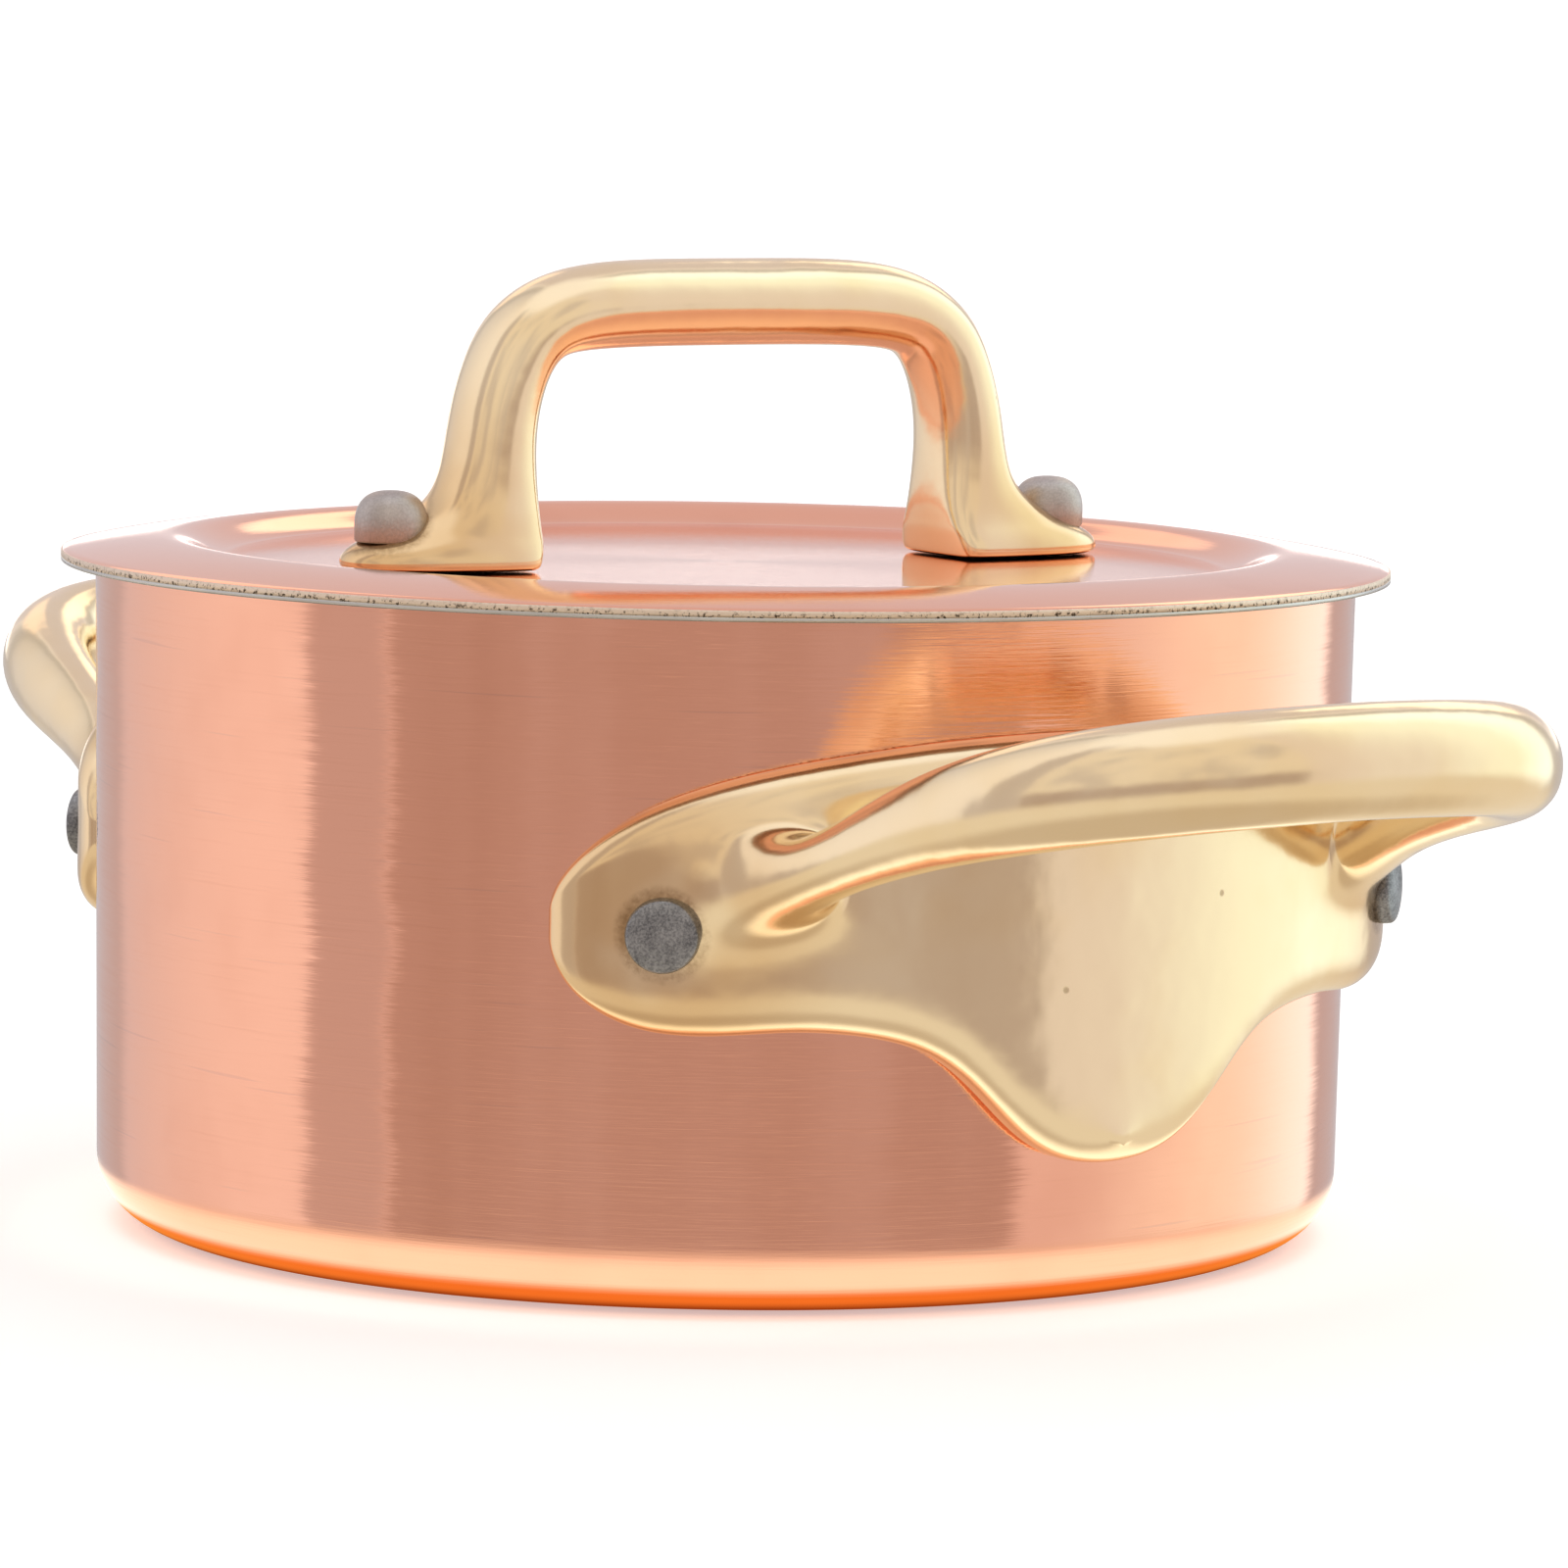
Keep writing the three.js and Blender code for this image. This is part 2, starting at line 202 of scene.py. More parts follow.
def lidCopperMaterial():
    high = highCorner("lid_shell")
    edge = high.x
    look = {
        "clean": tint(0.957, 0.563, 0.42),
        "tarnished": tint(0.86, 0.47, 0.335),
        "cut": tint(0.86, 0.74, 0.63),
        "burr": tint(0.12, 0.08, 0.05),
    }
    material, shader = newMaterial("lidCopper")
    spot, (x, y, z) = shader.place()
    radius = shader.vector("LENGTH", shader.combine(x, y, 0.0))
    across = shader.combine(radius * 5.0, x * 0.2, z * 5.0)
    fine = shader.noise(across, 1.0, 3.0, 0.6, fourth=y * 0.2)
    patches = shader.noise(spot, 0.08, 3.0, 0.55)
    body = shader.mix(patches.ramp(0.5, 0.8) * 0.4, look["clean"], look["tarnished"])
    # the sheared edge is rough and specked with dark burrs
    sheared = radius.ramp(edge - 0.16, edge - 0.04)
    grit = shader.noise(spot, 3.2, 4.0, 0.7)
    lowSide = z.ramp(high.z - 1.2, high.z - 1.4)
    specks = grit.ramp(0.53, 0.6)
    cut = shader.mix(specks * (0.2 + lowSide * 0.8), look["cut"], look["burr"])
    color = shader.mix(sheared, body, cut)
    roughness = 0.05 + fine * 0.06 + sheared * 0.35
    height = fine * 0.5 + sheared * grit * 6.0
    shader.metal(color, roughness, shader.bump(height, 0.012))
    return material


def steelMaterial():
    look = {"bright": tint(0.66, 0.645, 0.62), "dull": tint(0.5, 0.49, 0.475)}
    material, shader = newMaterial("liningSteel")
    spot, (x, y, z) = shader.place()
    radius = shader.vector("LENGTH", shader.combine(x, y, 0.0))
    across = shader.combine(radius * 7.0, x * 0.25, z * 7.0)
    fine = shader.noise(across, 1.0, 4.0, 0.65, fourth=y * 0.25)
    patches = shader.noise(spot, 0.09, 3.0, 0.6)
    color = shader.mix(patches.ramp(0.4, 0.75) * 0.5, look["bright"], look["dull"])
    roughness = 0.2 + fine * 0.16
    shader.metal(color, roughness, shader.bump(fine, 0.02))
    return material


def brassMaterial(name, rivetPoints):
    look = {
        "clean": tint(0.93, 0.79, 0.58),
        "warm": tint(0.90, 0.72, 0.46),
        "tarnish": tint(0.78, 0.55, 0.31),
        # the dark tone below is painted shade for the corner round each rivet head
        "cornerShade": tint(0.30, 0.18, 0.08),
        "pit": tint(0.22, 0.13, 0.06),
    }
    material, shader = newMaterial(name)
    spot = shader.place()[0]
    wander = shader.noise(spot, 0.22, 2.0, 0.45)
    polish = shader.noise(spot, 2.6, 3.0, 0.6)
    patches = shader.noise(spot, 0.11, 2.0, 0.5)
    color = shader.mix(patches.ramp(0.45, 0.75) * 0.45, look["clean"], look["warm"])
    # each rivet's head has tarnish about it, and painted shade darkens the corner round its head
    cornerShade = 0.0
    for point, reach in rivetPoints:
        away = shader.vector("DISTANCE", spot, point)
        handled = away.ramp(reach + 12, reach + 1) * patches.ramp(0.2, 0.5)
        color = shader.mix(handled * 0.75, color, look["tarnish"])
        ring = away.ramp(reach + 1.3, reach - 0.1) * (patches * 1.1 + polish * 0.7 - 0.1)
        cornerShade = ring.math("MAXIMUM", cornerShade)
    # painted shade in the corner round each rivet head
    color = shader.mix(cornerShade.ramp(0.25, 1.1) * 0.75, color, look["cornerShade"])
    # a few casting pits
    cells = shader.node("TexVoronoi", {"feature": "F1"}, {"Vector": spot, "Scale": 0.16, "Randomness": 1.0})
    pits = shader.read(cells, "Distance").ramp(0.05, 0.02)
    color = shader.mix(pits * 0.3, color, look["pit"])
    roughness = 0.12 + polish * 0.08 + pits * 0.3
    height = wander * 0.55 + polish * 0.01 - pits * 0.1
    shader.metal(color, roughness, shader.bump(height, 0.16))
    return material


def rivetMaterial(name, shape, centre):
    material, shader = newMaterial(name)
    spot = shader.place()[0]
    grain = shader.noise(spot, 5.5, 4.0, 0.7)
    blotch = shader.noise(spot, 0.5, 2.0, 0.5)
    # faint rings left by the heading tool
    away = shader.vector("DISTANCE", spot, centre)
    rings = shader.noise(shader.combine(away * 3.5, 0.0, 0.0), 1.0, 1.0, 0.5)
    shade = blotch.ramp(0.35, 0.7) * 0.4 + grain.ramp(0.35, 0.65) * 0.6
    color = shader.mix(shade, shape["light"], shape["dark"])
    roughness = 0.3 + grain * 0.2
    height = grain * 0.3 + blotch * 0.25 + rings * shape["rings"]
    shader.metal(color, roughness, shader.bump(height, 0.1))
    return material


def finishPiece(bm, name, material, body, node, subdivisions=0, sharpAngle=None):
    bmesh.ops.scale(bm, vec=(mm, mm, mm), verts=bm.verts)
    mesh = bpy.data.meshes.new(name)
    bm.to_mesh(mesh)
    bm.free()
    mesh.polygons.foreach_set("use_smooth", [True] * len(mesh.polygons))
    if sharpAngle is not None:
        mesh.set_sharp_from_angle(angle=radians(sharpAngle))
    mesh.materials.append(material)
    piece = bpy.data.objects.new(name, mesh)
    bpy.context.scene.collection.objects.link(piece)
    if subdivisions:
        smooth = piece.modifiers.new("smooth", "SUBSURF")
        smooth.levels = smooth.render_levels = subdivisions
        smooth.boundary_smooth = "PRESERVE_CORNERS"
    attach(piece, body)
    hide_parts(node)


def turnSection(bm, points, steps):
    # points are radius and height, from the axis round the section and back to the axis
    verts = [bm.verts.new((radius, 0.0, height)) for radius, height in points]
    edges = [bm.edges.new(pair) for pair in zip(verts, verts[1:])]
    bmesh.ops.spin(
        bm, geom=verts + edges, cent=(0, 0, 0), axis=(0, 0, 1), angle=2 * pi, steps=steps, use_merge=True
    )
    bmesh.ops.remove_doubles(bm, verts=bm.verts, dist=1e-4)
    bmesh.ops.dissolve_degenerate(bm, edges=bm.edges, dist=1e-5)
    bmesh.ops.recalc_face_normals(bm, faces=bm.faces)


def arc(centre, radius, start, end, steps):
    # points round an arc, with angles in degrees from the radius direction
    points = []
    for k in range(steps + 1):
        angle = radians(start + (end - start) * k / steps)
        points.append((centre[0] + radius * cos(angle), centre[1] + radius * sin(angle)))
    return points


potHigh = highCorner("pot_shell")
potShape = {
    "rim": potHigh.x,
    "height": potHigh.z,
    "draft": 0.5,  # how much smaller the wall is at its foot
    "corner": 5.0,
    "cornerSteps": 16,
    "wallRows": (16, 28, 40),  # heights between the corner and the rim
    "copper": 1.25,  # depth at which the lining starts
    "sheet": 1.5,  # copper and lining together
    "lip": 0.22,  # rounding of the rim's outer edge
    "liningLip": 0.08,
    "gap": 0.01,  # between copper and lining
    "shoulder": 0.3,  # straight top of the joint between them
    "steps": 240,
}


def potWall(depth, shape):
    # the section at a depth behind the outer face, from the axis to the top of the wall
    foot = shape["rim"] - shape["draft"]
    centre = (foot - shape["corner"], shape["corner"])
    radius = shape["corner"] - depth
    flat = [(0, depth), (centre[0] * 0.5, depth), (centre[0] - 0.8, depth)]
    bend = arc(centre, radius, -90, 0, shape["cornerSteps"])
    slope = shape["draft"] / (shape["height"] - shape["corner"])
    wall = []
    for height in (shape["corner"] + 0.8, *shape["wallRows"], shape["height"] - 1.2):
        wall.append((foot - depth + slope * (height - shape["corner"]), height))
    return flat + bend + wall


def makePot(shape, copper, steel):
    top = shape["height"]
    lip = shape["lip"]
    rim = shape["rim"]
    join = rim - shape["copper"]
    gap = shape["gap"]
    shoulder = top - shape["shoulder"]
    soft = shape["liningLip"]
    bm = bmesh.new()
    outer = potWall(0, shape) + [(rim - gap, top - lip * 2)] + arc((rim - lip, top - lip), lip, 0, 90, 5)
    back = [(join, top), (join, shoulder)] + potWall(shape["copper"], shape)[::-1]
    turnSection(bm, outer + back, shape["steps"])
    finishPiece(bm, "potCopper", copper, "pot", "pot_shell")
    bm = bmesh.new()
    front = potWall(shape["copper"] + gap, shape) + [(join - gap, shoulder), (join - gap, top)]
    lip = arc((rim - shape["sheet"] + soft, top - soft), soft, 90, 180, 4)
    turnSection(bm, front + lip + potWall(shape["sheet"], shape)[::-1], shape["steps"])
    finishPiece(bm, "potSteel", steel, "pot", "pot_lining")


lidHigh = highCorner("lid_shell")
lidShape = {
    "edge": lidHigh.x,
    "edgeTop": 49.42,
    "crestRadius": 41.0,
    "crestTop": lidHigh.z,
    "disc": 36.6,  # radius of the flat inside the crest
    "discTop": 49.0,
    "riseSteps": 12,
    "fallSteps": 10,
    "copper": 0.46,
    "sheet": 0.75,  # copper and lining together
    "cutTop": 0.06,  # the sheared edge is upright from here
    "cutFoot": 0.2,  # to here, below the top of the edge
    "cutLip": 0.05,
    "gap": 0.005,  # between copper and lining
    "steps": 240,
}


def lidTop(shape):
    # the top face from the axis to the edge: mirror-flat disc, soft step, crest, falling flange
    disc = shape["disc"]
    low = shape["discTop"]
    high = shape["crestTop"]
    rise = high - low
    run = shape["crestRadius"] - disc
    points = [(0, low), (disc * 0.5, low), (disc - 0.7, low), (disc - 0.2, low)]
    for k in range(1, shape["riseSteps"] + 1):
        t = k / shape["riseSteps"]
        points.append((disc + run * t, low + rise * (t * t * (3 - 2 * t)) ** 0.92))
    flange = shape["edge"] - shape["crestRadius"]
    fall = high - shape["edgeTop"]
    for k in range(1, shape["fallSteps"] + 1):
        t = k / shape["fallSteps"]
        fallen = 0.35 * t * t + 0.65 * t * (t ** 0.35)
        points.append((shape["crestRadius"] + flange * t, high - fall * fallen))
    return points


def makeLid(shape, copper, steel):
    top = lidTop(shape)
    edge = shape["edge"]
    edgeTop = shape["edgeTop"]
    join = shape["copper"]
    bm = bmesh.new()
    cut = [(edge, edgeTop - shape["cutTop"]), (edge, edgeTop - shape["cutFoot"])]
    upper = top[:-1] + [(edge - shape["cutLip"], edgeTop)] + cut
    under = [(radius, height - join) for radius, height in top[::-1]]
    turnSection(bm, upper + under, shape["steps"])
    finishPiece(bm, "lidCopper", copper, "lid", "lid_shell")
    bm = bmesh.new()
    upper = [(radius, height - join - shape["gap"]) for radius, height in top]
    under = [(radius, height - shape["sheet"]) for radius, height in top[::-1]]
    turnSection(bm, upper + under, shape["steps"])
    finishPiece(bm, "lidSteel", steel, "lid", "lid_lining")


def oval(angle, out, back, side, squareOut, squareBack):
    c, s = cos(angle), sin(angle)
    power = 2 / (squareOut if c > 0 else squareBack)
    across = (1 if c > 0 else -1) * abs(c) ** power * (out if c > 0 else back)
    along = (1 if s > 0 else -1) * abs(s) ** power * side
    return across, along


def growRing(bm, ring):
    # a new ring of points on an open one, for the caller to place
    made = bmesh.ops.extrude_edge_only(bm, edges=ring)
    verts = [item for item in made["geom"] if isinstance(item, bmesh.types.BMVert)]
    edges = [item for item in made["geom"] if isinstance(item, bmesh.types.BMEdge)]
    return verts, [edge for edge in edges if edge.is_boundary and all(vert in verts for vert in edge.verts)]


def mirrorAndTurn(bm, axis, turn):
    bmesh.ops.mirror(bm, geom=bm.verts[:] + bm.edges[:] + bm.faces[:], merge_dist=0.02, axis=axis)
    bmesh.ops.recalc_face_normals(bm, faces=bm.faces)
    bmesh.ops.rotate(bm, cent=(0, 0, 0), matrix=Matrix.Rotation(turn, 3, "Z"), verts=bm.verts)


handleShape = {
    "inside": 46.75,  # radius of the face against the pot
    "thickness": 3.2,
    "edgeDrop": 1.25,  # how far the rounded edge falls below the face
    "backEdge": 0.35,  # a line this far above the back keeps its edge firm
    "rimDrop": 0.35,  # the outline stays at least this far below the face
    "rimInset": 1.7,
    "bend": 46.5,  # radius at which distances round the pot are counted
    # one half of the plate, from the middle out: distance round the pot, bottom and top height
    "columns": [
        (0, 10.3, 40.75), (4.6, 11.0, 40.75), (8.0, 13.6, 40.6), (11.0, 17.0, 40.4), (14.6, 19.5, 40.1),
        (20.6, 20.4, 39.2), (24.7, 20.3, 38.4), (28.8, 19.9, 37.3), (33.0, 20.1, 35.7), (36.2, 21.4, 33.6),
        (38.2, 23.1, 31.6), (39.35, 24.9, 29.9), (39.7, 26.4, 28.4),
    ],
    "falls": [0, 0, 0, 0, 0, 0, 0, 0, 0.06, 0.45, 1.15, 1.85, 2.1],  # how far the face drops at each column
    "rows": [0.20, 0.36, 0.64, 0.92],  # lines between the two rim lines
    "armColumns": (5, 7),  # the arm grows from the face between these
    "armRows": (3, 5),
    "armStart": (43.0, 25.4, 31.7),  # a point inside the plate that the arm points away from
    # one arm from its root to the middle of the bar: x, y, z, half width, half height
    "arm": [
        (45.6, 24.9, 31.4, 3.4, 2.5), (49.0, 24.1, 32.9, 2.95, 2.45), (52.8, 23.1, 34.7, 2.9, 2.75),
        (57.6, 22.2, 36.6, 3.1, 3.3), (63.5, 21.0, 38.3, 3.4, 3.7), (69.5, 18.2, 39.8, 3.7, 3.9),
        (74.0, 12.6, 40.8, 3.75, 3.95), (75.5, 6.35, 41.2, 3.75, 3.95), (75.6, 0.0, 41.3, 3.7, 3.95),
    ],
    "swell": 1.10,  # a subdivided ring of eight shrinks by this much
    "tilt": 18.0,  # slope of the loop's plane
    "square": 2.15,
    "rootRings": 2,  # rings that are relaxed into the plate
    "rootSoftness": 0.35,
    "leftDrop": 2.5,  # the left loop sits this much lower
    "rootX": 45,  # where a lowered loop has this share of its drop
    "rootDrop": 0.6,
    "fullDropX": 58,
}


def plateGrid(bm, shape):
    # half a plate laid flat: x round the pot, y up, z out from the pot
    columns = shape["columns"]
    rowCount = len(shape["rows"]) + 4
    border = bm.verts.layers.int.new("border")
    cell = bm.verts.layers.int.new("cell")
    bm.verts.layers.float.new("angle")
    made = bmesh.ops.create_grid(bm, x_segments=len(columns) - 1, y_segments=rowCount - 1, size=1)
    for vert in made["verts"]:
        column = round((vert.co.x + 1) / 2 * (len(columns) - 1))
        row = round((vert.co.y + 1) / 2 * (rowCount - 1))
        distance, bottom, top = columns[column]
        inset = shape["rimInset"] * min(1.0, (top - bottom) / 14)
        lines = [bottom, bottom + inset]
        inner = top - bottom - 2 * inset
        lines += [bottom + inset + inner * share for share in shape["rows"]]
        lines += [top - inset, top]
        vert.co = (distance, lines[row], 0)
        vert[border] = int(row in (0, rowCount - 1) or column == len(columns) - 1)
        vert[cell] = column * 100 + row
    return border, cell


def extrudePlate(bm, shape, border, cell):
    inner = shape["thickness"]
    faces = bm.faces[:]
    for depth, keep in ((shape["backEdge"], True), (inner - shape["edgeDrop"], False)):
        made = bmesh.ops.extrude_face_region(bm, geom=faces, use_keep_orig=keep)
        moved = [item for item in made["geom"] if isinstance(item, bmesh.types.BMVert)]
        faces = [item for item in made["geom"] if isinstance(item, bmesh.types.BMFace)]
        for vert in moved:
            vert.co.z = depth
    for vert in {vert for face in faces for vert in face.verts}:
        fall = shape["falls"][vert[cell] // 100]
        vert.co.z = min(vert.co.z, inner - fall - shape["rimDrop"]) if vert[border] else inner - fall
    walls = [face for face in bm.faces if all(abs(vert.co.x) < 1e-4 for vert in face.verts)]
    bmesh.ops.delete(bm, geom=walls, context="FACES_ONLY")
    return faces


def bendPlate(bm, shape):
    for vert in bm.verts:
        angle = vert.co.x / shape["bend"]
        radius = shape["inside"] + vert.co.z
        vert.co = (radius * cos(angle), radius * sin(angle), vert.co.y)


def growArm(bm, shape, faces, cell, drop):
    columns = range(shape["armColumns"][0], shape["armColumns"][1] + 1)
    rows = range(shape["armRows"][0], shape["armRows"][1] + 1)
    inside = set()
    for vert in {vert for face in faces for vert in face.verts}:
        column, row = divmod(vert[cell], 100)
        if column in columns and row in rows:
            inside.add(vert)
    root = [face for face in faces if all(vert in inside for vert in face.verts)]
    ring = [edge for face in root for edge in face.edges if sum(near in root for near in edge.link_faces) == 1]
    angleOf = bm.verts.layers.float["angle"]
    foot = {vert for edge in ring for vert in edge.verts}
    for vert in foot:
        column = vert[cell] // 100 - (columns[0] + columns[-1]) / 2
        row = vert[cell] % 100 - (rows[0] + rows[-1]) / 2
        vert[angleOf] = atan2(row, column)
    bmesh.ops.delete(bm, geom=root, context="FACES")
    level = Vector((-sin(radians(shape["tilt"])), 0, cos(radians(shape["tilt"]))))
    path = []
    for x, y, z, wide, tall in shape["arm"]:
        along = (x - shape["rootX"]) / (shape["fullDropX"] - shape["rootX"])
        share = min(1, shape["rootDrop"] + (1 - shape["rootDrop"]) * along)
        path.append(Vector((x, y, z - drop * share)))
    start = Vector(shape["armStart"])
    for index, (x, y, z, wide, tall) in enumerate(shape["arm"]):
        before = path[index - 1] if index else start
        after = path[index + 1] if index + 1 < len(path) else path[-2] * Vector((1, -1, 1))
        forward = (after - before).normalized()
        outward = level.cross(forward).normalized()
        upright = forward.cross(outward).normalized()
        verts, ring = growRing(bm, ring)
        for vert in verts:
            across, along = oval(vert[angleOf], wide, wide, tall, shape["square"], shape["square"])
            vert.co = path[index] + (outward * across + upright * along) * shape["swell"]
        if index < shape["rootRings"]:
            foot.update(verts)
    axes = {"use_axis_" + axis: True for axis in "xyz"}
    for repeat in range(2):
        bmesh.ops.smooth_vert(bm, verts=list(foot), factor=shape["rootSoftness"], **axes)


def makeSideHandle(name, node, shape, material, drop, turn):
    bm = bmesh.new()
    border, cell = plateGrid(bm, shape)
    faces = extrudePlate(bm, shape, border, cell)
    bendPlate(bm, shape)
    growArm(bm, shape, faces, cell, drop)
    mirrorAndTurn(bm, "Y", turn)
    finishPiece(bm, name, material, "pot", node, subdivisions=3)


archShape = {
    "turn": radians(86.0),
    "sides": 16,
    # from under a foot to the crown: x, z, reach out, back and sideways, squareness out and back
    "rows": [
        (20.6, 49.05, 8.6, 1.5, 3.4, 2.3, 4.5), (20.6, 49.05, 10.9, 2.5, 4.85, 2.3, 5.5),
        (20.6, 49.55, 11.35, 2.75, 5.1, 2.3, 5.5), (20.5, 50.4, 11.1, 2.9, 4.95, 2.3, 5.0),
        (20.4, 51.15, 9.9, 3.0, 4.6, 2.3, 4.8), (20.4, 51.75, 7.9, 3.05, 4.3, 2.3, 4.5),
        (20.35, 52.9, 5.5, 3.15, 3.95, 2.35, 3.8),
        (20.3, 54.4, 3.75, 3.15, 3.7, 2.4, 3.2), (20.2, 57.0, 3.0, 3.0, 3.6, 2.4, 2.7),
        (19.9, 59.9, 2.9, 2.85, 3.55, 2.4, 2.5), (19.15, 62.9, 2.9, 2.8, 3.6, 2.3, 2.4),
        (17.75, 65.7, 3.0, 2.9, 3.7, 2.15, 2.2), (15.1, 67.5, 3.1, 3.05, 3.8, 1.95, 2.0),
        (10.6, 68.1, 3.2, 3.2, 3.9, 1.8, 1.8), (5.0, 68.2, 3.2, 3.2, 3.95, 1.75, 1.75),
        (0.0, 68.2, 3.2, 3.2, 3.95, 1.75, 1.75),
    ],
    "footRows": 6,  # these lie level
    "swell": 1.03,
}


def makeLidHandle(shape, material):
    bm = bmesh.new()
    angleOf = bm.verts.layers.float.new("angle")
    made = bmesh.ops.create_circle(bm, cap_ends=True, segments=shape["sides"], radius=1)
    for vert in made["verts"]:
        vert[angleOf] = atan2(vert.co.y, vert.co.x)
    ring = [edge for edge in bm.edges if len(edge.link_faces) == 1]
    verts = made["verts"]
    rows = shape["rows"]
    for index, (x, z, out, back, side, squareOut, squareBack) in enumerate(rows):
        if index:
            verts, ring = growRing(bm, ring)
        before = rows[max(index - 1, 0)]
        after = rows[min(index + 1, len(rows) - 1)]
        forward = Vector((after[0] - before[0], 0, after[1] - before[1]))
        if index < shape["footRows"]:
            forward = Vector((0, 0, 1))
        if index == len(rows) - 1:
            forward = Vector((-1, 0, 0))
        forward.normalize()
        outward = Vector((0, 1, 0)).cross(forward)
        for vert in verts:
            across, along = oval(vert[angleOf], out, back, side, squareOut, squareBack)
            vert.co = Vector((x, 0, z)) + (outward * across + Vector((0, along, 0))) * shape["swell"]
    mirrorAndTurn(bm, "X", shape["turn"])
    finishPiece(bm, "lidHandle", material, "lid", "lid_handle", subdivisions=3)


sideRivetShape = {
    "angle": radians(39.0),
    "height": 27.2,
    "head": 2.6,
    "shank": 2.0,
    "tail": 3.1,
    "seat": 49.9,  # this and the next three are distances from the pot's axis
    "face": 51.3,
    "tailSeat": 44.4,
    "tailFace": 43.2,
    "light": tint(0.46, 0.46, 0.47),
    "dark": tint(0.17, 0.17, 0.18),
    "rings": 0.5,  # depth of the heading tool's rings
}
lidRivetShape = {
    "reach": 28.15,  # from the axis of the lid
    "head": 2.65,
    "shank": 1.9,
    "tail": 2.9,
    "seat": 51.1,
    "waist": 1.3,  # straight part of the head
    "domeSteps": 14,
    "top": 54.8,
    "under": 48.15,
    "light": tint(0.62, 0.57, 0.55),
    "dark": tint(0.50, 0.46, 0.44),
    "rings": 0.0,
}


def makeSideRivet(name, node, shape, material, angle):
    head, face, seat, shank = shape["head"], shape["face"], shape["seat"], shape["shank"]
    tail, tailFace, tailSeat = shape["tail"], shape["tailFace"], shape["tailSeat"]
    points = [(0, tailFace), (tail * 0.45, tailFace + 0.03)]
    points += arc((tail - 0.75, tailFace + 0.85), 0.75, -90, 0, 7)
    points += [(tail, tailSeat), (shank, tailSeat + 0.02)]
    points += [(shank, seat - 0.1), (head - 0.12, seat - 0.1), (head, seat + 0.1), (head - 0.02, seat + 0.55)]
    points += arc((head - 0.47, face - 0.62), 0.42, 8, 72, 7)
    points += [(head - 0.55, face - 0.17), (head * 0.55, face - 0.06), (head * 0.25, face - 0.01), (0, face)]
    bm = bmesh.new()
    turnSection(bm, points, 64)
    bmesh.ops.rotate(bm, cent=(0, 0, 0), matrix=Matrix.Rotation(pi / 2, 3, "Y"), verts=bm.verts)
    bmesh.ops.rotate(bm, cent=(0, 0, 0), matrix=Matrix.Rotation(angle, 3, "Z"), verts=bm.verts)
    bmesh.ops.translate(bm, vec=(0, 0, shape["height"]), verts=bm.verts)
    finishPiece(bm, name, material, "pot", node, sharpAngle=50)


def makeLidRivet(name, node, shape, material, spot):
    head, seat, shank = shape["head"], shape["seat"], shape["shank"]
    tail, under = shape["tail"], shape["under"]
    waistTop = seat + shape["waist"]
    dome = shape["top"] - seat - shape["waist"]
    steps = shape["domeSteps"]
    points = [(0, under - 1.1), (tail * 0.5, under - 1.05)]
    points += arc((tail - 0.6, under - 0.45), 0.6, -90, 0, 6)
    points += [(tail, under), (shank, under + 0.02), (shank, seat - 0.02)]
    points += [(head - 0.1, seat), (head, seat + 0.15), (head, waistTop)]
    for k in range(1, steps):
        lean = k / steps * pi / 2
        points.append((head * cos(lean) ** 0.72, waistTop + dome * sin(lean) ** 0.92))
    points.append((0, waistTop + dome))
    bm = bmesh.new()
    turnSection(bm, points, 64)
    bmesh.ops.translate(bm, vec=(spot.x, spot.y, 0), verts=bm.verts)
    finishPiece(bm, name, material, "lid", node, sharpAngle=50)


view = {
    "distance": 0.600,
    "height": 0.09556,
    "azimuth": radians(-34.55),  # from +X to the camera
    "turn": 0.00762,
    "tilt": 0.10471,
    "roll": 0.01847,
    "lens": 186.67,
}


def makeCamera(shape):
    camera = bpy.data.objects.new("camera", bpy.data.cameras.new("camera"))
    camera.data.lens = shape["lens"]
    camera.data.sensor_width = 36.0
    camera.data.clip_start = 0.01
    camera.data.clip_end = 100.0
    side = shape["azimuth"]
    spot = Matrix.Translation((shape["distance"] * cos(side), shape["distance"] * sin(side), shape["height"]))
    heading = Matrix.Rotation(side + pi / 2 - shape["turn"], 4, "Z")
    pitch = Matrix.Rotation(pi / 2 - shape["tilt"], 4, "X")
    camera.matrix_world = spot @ heading @ pitch @ Matrix.Rotation(shape["roll"], 4, "Z")
    bpy.context.scene.collection.objects.link(camera)
    bpy.context.scene.camera = camera


studio = {
    # tone of each part of the tent, as seen in the metal
    "front": (0.60, 0.52, 0.49),
    "frontHigh": (0.92, 0.86, 0.78),
    "leftEdge": (0.68, 0.63, 0.63),
    "left": (1.02, 0.99, 0.99),
    "leftFar": (0.72, 0.71, 0.76),
    "rightNear": (0.90, 0.84, 0.82),
    "right": (1.12, 1.18, 1.10),
    "rightFar": (1.30, 1.42, 1.45),
    "back": (0.66, 0.64, 0.66),
    "backdrop": (1.6, 1.6, 1.6),
    "backHigh": (0.79, 0.74, 0.77),
    "rightBox": (1.6, 1.5, 1.3),
    "leftBox": (1.2, 1.05, 0.95),
    "above": (1.08, 1.08, 1.1),
    "table": (0.90, 0.84, 0.74),
    "below": (0.72, 0.64, 0.54),
    "frontDeep": (0.50, 0.40, 0.35),
}


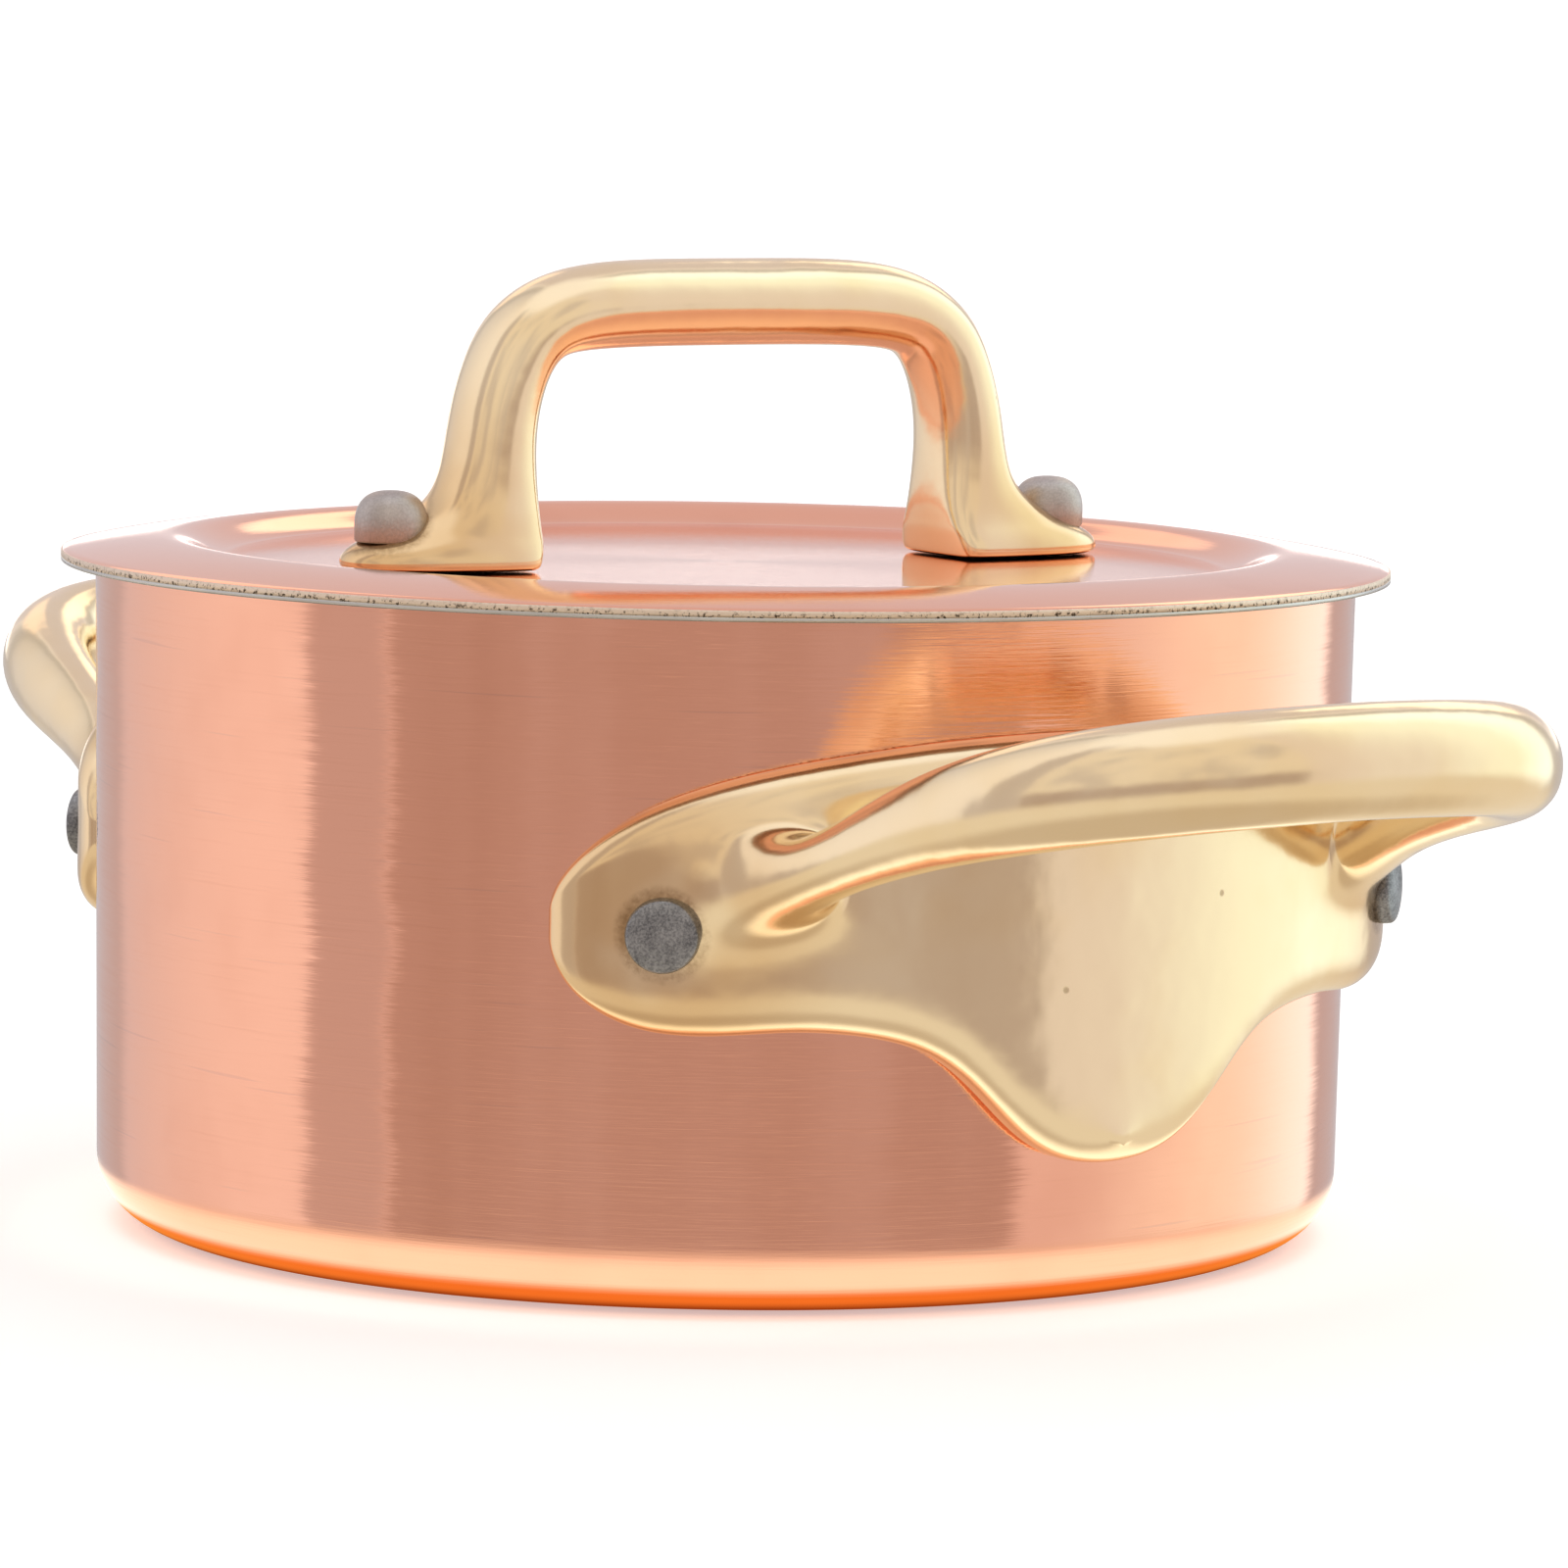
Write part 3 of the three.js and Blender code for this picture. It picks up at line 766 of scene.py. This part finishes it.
def makeStudio(shape, facing):
    world = bpy.data.worlds.new("studio")
    bpy.context.scene.world = world
    world.use_nodes = True
    shader = Shader(world.node_tree)
    tone = {name: tint(*color) for name, color in shape.items()}
    direction = shader.read(shader.node("TexCoord"), "Generated")
    x, y, z = (shader.read(shader.node("SeparateXYZ", inputs={0: direction}), axis) for axis in "XYZ")
    front = x * cos(facing) + y * sin(facing)
    right = y * cos(facing) - x * sin(facing)
    turn = right.math("ARCTAN2", front) * degrees(1)
    drift = shader.noise(shader.combine(x * 3.0, y * 3.0, z * 1.2), 1.0, 2.0, 0.5)
    level = shader.mix(z.ramp(-0.05, 0.14), tone["front"], tone["frontHigh"])
    level = shader.mix(drift.ramp(0.52, 0.7) * 0.7, level, tone["leftEdge"])
    level = shader.mix(drift.ramp(0.48, 0.3) * z.ramp(0.1, -0.02) * 0.9, level, tone["frontDeep"])
    level = shader.mix(turn.ramp(-61, -62), level, tone["rightNear"])
    level = shader.mix(turn.ramp(-62.2, -63), level, tone["leftEdge"])
    leftWall = shader.mix(turn.ramp(-88, -172), tone["left"], tone["leftFar"])
    level = shader.mix(turn.ramp(-79, -81), level, leftWall)
    rightWall = shader.mix(turn.ramp(62, 104), tone["rightNear"], tone["right"])
    rightWall = shader.mix(turn.ramp(104, 134), rightWall, tone["rightFar"])
    level = shader.mix(turn.ramp(54, 57), level, rightWall)
    level = shader.mix(turn.absolute().ramp(139, 147), level, tone["back"])
    behind = turn.absolute().ramp(150, 160)
    level = shader.mix(behind * z.ramp(-0.03, -0.01), level, tone["backdrop"])
    level = shader.mix(behind * z.ramp(0.057, 0.067), level, tone["backHigh"])
    # two softboxes behind, which show in the lid's inner slope
    boxHeight = z.ramp(0.33, 0.36) * z.ramp(0.62, 0.58)
    level = shader.mix(turn.ramp(150, 153) * turn.ramp(173, 170) * boxHeight, level, tone["rightBox"])
    level = shader.mix(turn.ramp(-150, -153) * turn.ramp(-173, -170) * boxHeight, level, tone["leftBox"])
    level = shader.mix(z.ramp(0.86, 0.97), level, tone["above"])
    level = shader.mix(z.ramp(-0.17, -0.4), level, tone["table"])
    level = shader.mix(z.ramp(-0.6, -0.85), level, tone["below"])
    seen = shader.node("Background", inputs={"Color": tint(1, 1, 1), "Strength": 1.0})
    lit = shader.node("Background", inputs={"Color": level, "Strength": 1.0})
    sight = shader.read(shader.node("LightPath"), "Is Camera Ray")
    shader.finish(shader.blend(sight, lit, seen), "OutputWorld")


def stageSheet(name, radius, height, material):
    bm = bmesh.new()
    bmesh.ops.create_circle(bm, cap_ends=True, segments=96, radius=radius)
    bmesh.ops.translate(bm, vec=(0, 0, height), verts=bm.verts)
    mesh = bpy.data.meshes.new(name)
    bm.to_mesh(mesh)
    bm.free()
    mesh.materials.append(material)
    sheet = bpy.data.objects.new(name, mesh)
    bpy.context.scene.collection.objects.link(sheet)
    return sheet


def makeFloor():
    material, shader = newMaterial("floor")
    surface = shader.node(
        "BsdfPrincipled",
        inputs={
            "Base Color": tint(0.62, 0.62, 0.62),
            "Roughness": 0.7,
            "Emission Color": tint(1, 1, 1),
            "Emission Strength": 0.5,
        },
    )
    shader.finish(surface)
    floor = stageSheet("floor", 60.0, -0.0002, material)
    floor.visible_glossy = False
    # a painted reflection, seen only in the metal: the table round the foot, dark with painted shade where the
    # pot sits, then lit by the light that the copper throws on it
    material, shader = newMaterial("footGlow")
    x, y, z = shader.place()[1]
    radius = shader.vector("LENGTH", shader.combine(x, y, 0.0))
    color = shader.mix(radius.ramp(41.8, 43.6), tint(0.42, 0.10, 0.015), tint(1.0, 0.40, 0.08))
    color = shader.mix(radius.ramp(43.9, 45.8), color, tint(1.35, 1.3, 1.15))
    glow = shader.node("Emission", inputs={"Color": color, "Strength": 1.0})
    clear = shader.node("BsdfTransparent")
    shader.finish(shader.blend(radius.ramp(48, 58), glow, clear))
    halo = stageSheet("footGlow", 0.06, -0.0001, material)
    halo.visible_camera = halo.visible_diffuse = halo.visible_shadow = halo.visible_transmission = False


makeCamera(view)
makeStudio(studio, view["azimuth"])
makeFloor()
bpy.context.scene.view_settings.view_transform = "Standard"
bpy.context.scene.view_settings.gamma = 0.8
print("camera, studio and floor are set")

liningSteel = steelMaterial()
makePot(potShape, copperMaterial("potCopper", 0.012, 0.05), liningSteel)
print("pot turned")

makeLid(lidShape, lidCopperMaterial(), liningSteel)
print("lid turned")


def onCircle(radius, angle, height):
    return Vector((radius * cos(angle), radius * sin(angle), height))


def sideRivetAngles(turn):
    return [turn - sideRivetShape["angle"], turn + sideRivetShape["angle"]]


# reach of a side rivet's head, for its tarnish and the painted shade in its corner
headReach = sideRivetShape["head"] + 0.3
for name, node, turn, drop in (
    ("rightHandle", "handle_right", 0.0, 0.0),
    ("leftHandle", "handle_left", pi, handleShape["leftDrop"]),
):
    angles = sideRivetAngles(turn)
    seats = [onCircle(sideRivetShape["seat"], angle, sideRivetShape["height"]) for angle in angles]
    brass = brassMaterial(name + "Brass", [(seat, headReach) for seat in seats])
    makeSideHandle(name, node, handleShape, brass, drop, turn)
print("side handles cast")

lidSeats = []
for side in (0, pi):
    lidSeats.append(onCircle(lidRivetShape["reach"], archShape["turn"] + side, lidRivetShape["seat"]))
makeLidHandle(archShape, brassMaterial("lidHandleBrass", [(seat, 3.0) for seat in lidSeats]))
print("lid handle cast")

for side, turn in (("right", 0.0), ("left", pi)):
    for index, angle in enumerate(sideRivetAngles(turn), start=1):
        centre = onCircle(sideRivetShape["face"], angle, sideRivetShape["height"])
        name = f"{side}Rivet{index}"
        grey = rivetMaterial(name + "Steel", sideRivetShape, centre)
        makeSideRivet(name, f"rivet_{side}_{index}", sideRivetShape, grey, angle)
for index, seat in enumerate(lidSeats, start=1):
    name = f"lidRivet{index}"
    grey = rivetMaterial(name + "Steel", lidRivetShape, seat)
    makeLidRivet(name, f"lid_rivet_{index}", lidRivetShape, grey, seat)
print("rivets set")
